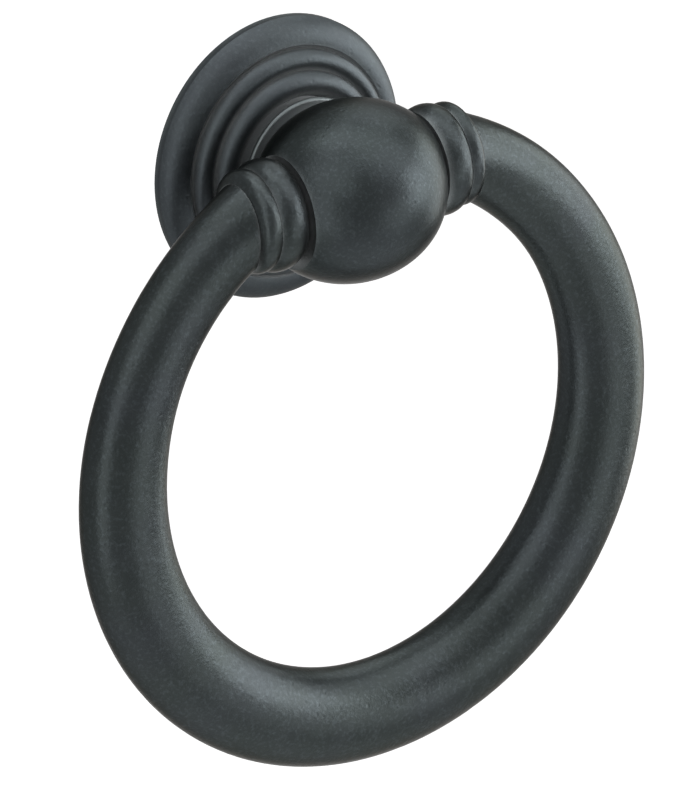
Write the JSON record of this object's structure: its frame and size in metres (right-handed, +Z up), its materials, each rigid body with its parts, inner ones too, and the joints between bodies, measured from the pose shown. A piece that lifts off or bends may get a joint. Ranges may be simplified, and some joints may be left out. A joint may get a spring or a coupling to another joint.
{
  "type": "cabinet ring pull",
  "caption": "Drop-ring pull for a cabinet door or drawer: a round stepped rosette, a ball post and a thick ring that swings on a pin through the ball.",
  "frame": {"origin": "centre of the rosette's back, where the tapped hole opens on the cabinet face", "axes": "+Z up, -Y out of the cabinet face towards the user, +X along the ring's pivot"},
  "size_m": [0.0604, 0.0193, 0.0665],
  "materials": {
    "dark_casting": "satin black, slightly blue-grey",
    "steel_pin": "plain ground steel"
  },
  "bodies": {
    "fixed_post": {"rosette": "dark_casting", "ball_post": "dark_casting"},
    "drop_ring": {"ring": "dark_casting", "pivot_pin": "steel_pin"}
  },
  "joints": [
    {"name": "ring_swing", "type": "hinge", "parent": "fixed_post", "child": "drop_ring", "pos_m": [0, -0.0113, 0], "axis": [-1, 0, 0], "range_deg": [-8.5, 188.5]}
  ]
}
